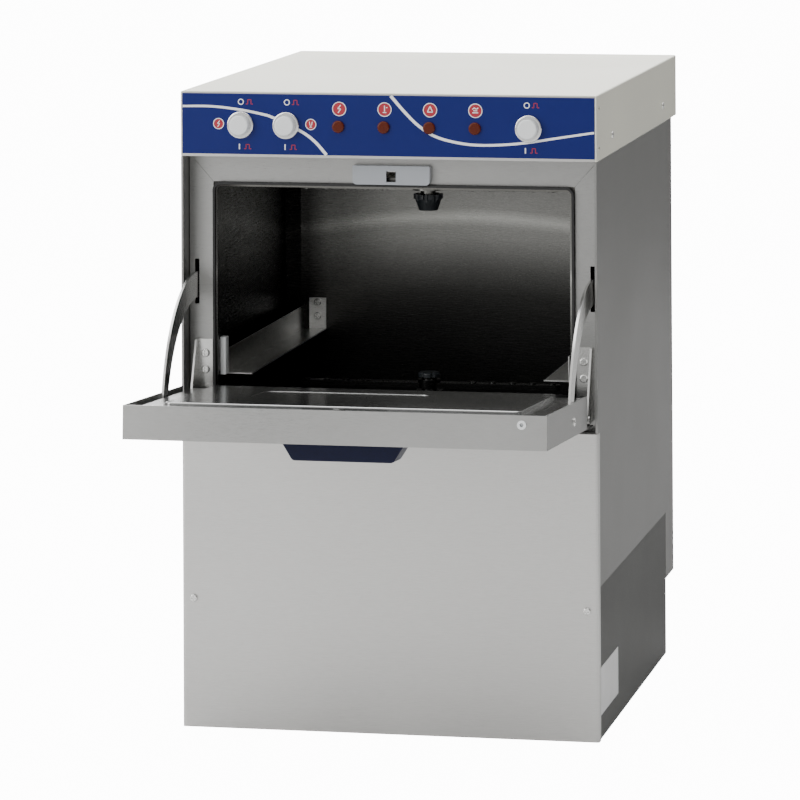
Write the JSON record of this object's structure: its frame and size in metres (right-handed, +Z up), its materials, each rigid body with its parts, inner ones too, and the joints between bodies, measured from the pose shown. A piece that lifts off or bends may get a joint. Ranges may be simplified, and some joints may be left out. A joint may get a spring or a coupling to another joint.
{
  "type": "commercial dishwasher",
  "caption": "Undercounter stainless commercial dishwasher with drop-down door on curved arms, tub with rails and spray arms, and blue push-button fascia.",
  "frame": {"origin": "middle of the overall box at floor level, with the door open as modelled", "axes": "+X to the right seen from the front, +Y towards the back, +Z up"},
  "size_m": [0.4344, 0.7956, 0.65],
  "materials": {
    "lid_steel": "satin",
    "brushed_steel": "brushed",
    "tub_steel": "satin",
    "mirror_steel": "polished",
    "bracket_steel": "satin",
    "screw_steel": "polished",
    "blue_film": "semi-gloss printed film",
    "navy_plastic": "fine texture",
    "chrome": "polished",
    "white_plastic": "gloss",
    "amber_lens": "translucent lens",
    "gasket_rubber": "matt",
    "latch_grey": "satin",
    "dark_plastic": "matt",
    "motor_paint": "satin",
    "copper_pipe": "drawn",
    "element_steel": "dull",
    "feet_black": "matt",
    "plate_label": "blank film"
  },
  "bodies": {
    "cabinet": {"arm_retaining_knob": "dark_plastic", "back_cover": "brushed_steel", "base_chassis": "brushed_steel", "basket_rails": "tub_steel", "bracket_screws": "screw_steel", "button_bezels": "chrome", "cable_gland": "dark_plastic", "contactor_box": "dark_plastic", "control_fascia": "brushed_steel", "door_gasket": "gasket_rubber", "door_hinge_pins": "bracket_steel", "door_springs": "bracket_steel", "drain_pump": "dark_plastic", "fascia_overlay": "blue_film", "frame_side_members": "brushed_steel", "frame_sill": "brushed_steel", "frame_top_member": "brushed_steel", "heating_elements": "element_steel", "hinge_brackets": "bracket_steel", "inlet_valve": "dark_plastic", "latch_housing": "latch_grey", "left_side_panel": "brushed_steel", "levelling_feet": "feet_black", "lower_front_panel": "brushed_steel", "panel_screws": "screw_steel", "pilot_lamps": "amber_lens", "rail_end_guide": "white_plastic", "rating_plate": "plate_label", "right_side_panel": "brushed_steel", "rinse_boiler": "bracket_steel", "spray_arm_pillar": "tub_steel", "sump": "dark_plastic", "sump_strainer": "tub_steel", "switch_blocks": "dark_plastic", "top_cover": "lid_steel", "upper_arm_knob": "dark_plastic", "upper_arm_mount": "tub_steel", "wash_pump_housing": "dark_plastic", "wash_pump_motor": "motor_paint", "wash_tub": "tub_steel", "water_hoses": "gasket_rubber", "water_pipes": "copper_pipe"},
    "door": {"door_outer_skin": "brushed_steel", "door_inner_panel": "mirror_steel", "door_handle": "navy_plastic", "door_hinge_plates": "bracket_steel", "door_grommet": "white_plastic", "door_striker": "bracket_steel", "arm_pivot_screws": "screw_steel"},
    "left_arm": {"left_door_arm": "bracket_steel"},
    "right_arm": {"right_door_arm": "bracket_steel"},
    "power_push": {"power_button": "white_plastic"},
    "start_push": {"start_button": "white_plastic"},
    "drain_push": {"drain_button": "white_plastic"},
    "wash_spinner": {"lower_wash_arm": "tub_steel"},
    "rinse_spinner": {"lower_rinse_arm": "tub_steel"},
    "upper_spinner": {"upper_rinse_arm": "tub_steel"},
    "catch": {"latch_catch": "bracket_steel"},
    "standpipe": {"overflow_standpipe": "tub_steel"},
    "pump_rotor": {"pump_impeller": "dark_plastic"}
  },
  "joints": [
    {"name": "door_hinge", "type": "hinge", "parent": "cabinet", "child": "door", "pos_m": [0, -0.14223, 0.3254], "axis": [-1, 0, 0], "range_deg": [0, 86.4], "deforming": ["door_springs"]},
    {"name": "left_arm_pivot", "type": "hinge", "parent": "door", "child": "left_arm", "pos_m": [-0.2056, -0.24903, 0.3395], "axis": [1, 0, 0], "range_deg": [0, 31.2]},
    {"name": "right_arm_pivot", "type": "hinge", "parent": "door", "child": "right_arm", "pos_m": [0.2056, -0.24903, 0.3395], "axis": [1, 0, 0], "range_deg": [0, 31.2]},
    {"name": "power_press", "type": "slide", "parent": "cabinet", "child": "power_push", "axis": [0, 1, 0], "range_m": [0, 0.004], "stiffness_N_per_m": 300},
    {"name": "start_press", "type": "slide", "parent": "cabinet", "child": "start_push", "axis": [0, 1, 0], "range_m": [0, 0.004], "stiffness_N_per_m": 300},
    {"name": "drain_press", "type": "slide", "parent": "cabinet", "child": "drain_push", "axis": [0, 1, 0], "range_m": [0, 0.004], "stiffness_N_per_m": 300},
    {"name": "wash_arm_spin", "type": "hinge", "parent": "cabinet", "child": "wash_spinner", "pos_m": [0, 0.06777, 0.312], "axis": [0, 0, 1], "continuous": true},
    {"name": "rinse_arm_spin", "type": "hinge", "parent": "cabinet", "child": "rinse_spinner", "pos_m": [0, 0.06777, 0.325], "axis": [0, 0, 1], "continuous": true},
    {"name": "upper_arm_spin", "type": "hinge", "parent": "cabinet", "child": "upper_spinner", "pos_m": [0, 0.06777, 0.535], "axis": [0, 0, 1], "continuous": true},
    {"name": "catch_slide", "type": "slide", "parent": "cabinet", "child": "catch", "axis": [0, 0, -1], "range_m": [0, 0.0025], "stiffness_N_per_m": 400},
    {"name": "standpipe_lift", "type": "slide", "parent": "cabinet", "child": "standpipe", "axis": [0, 0, 1], "range_m": [0, 0.12]},
    {"name": "pump_spin", "type": "hinge", "parent": "cabinet", "child": "pump_rotor", "pos_m": [0, -0.04223, 0.206], "axis": [1, 0, 0], "continuous": true}
  ],
  "couplings": [
    {"joint": "left_arm_pivot", "follows": "door_hinge", "ratio": 0.36},
    {"joint": "right_arm_pivot", "follows": "door_hinge", "ratio": 0.36}
  ]
}
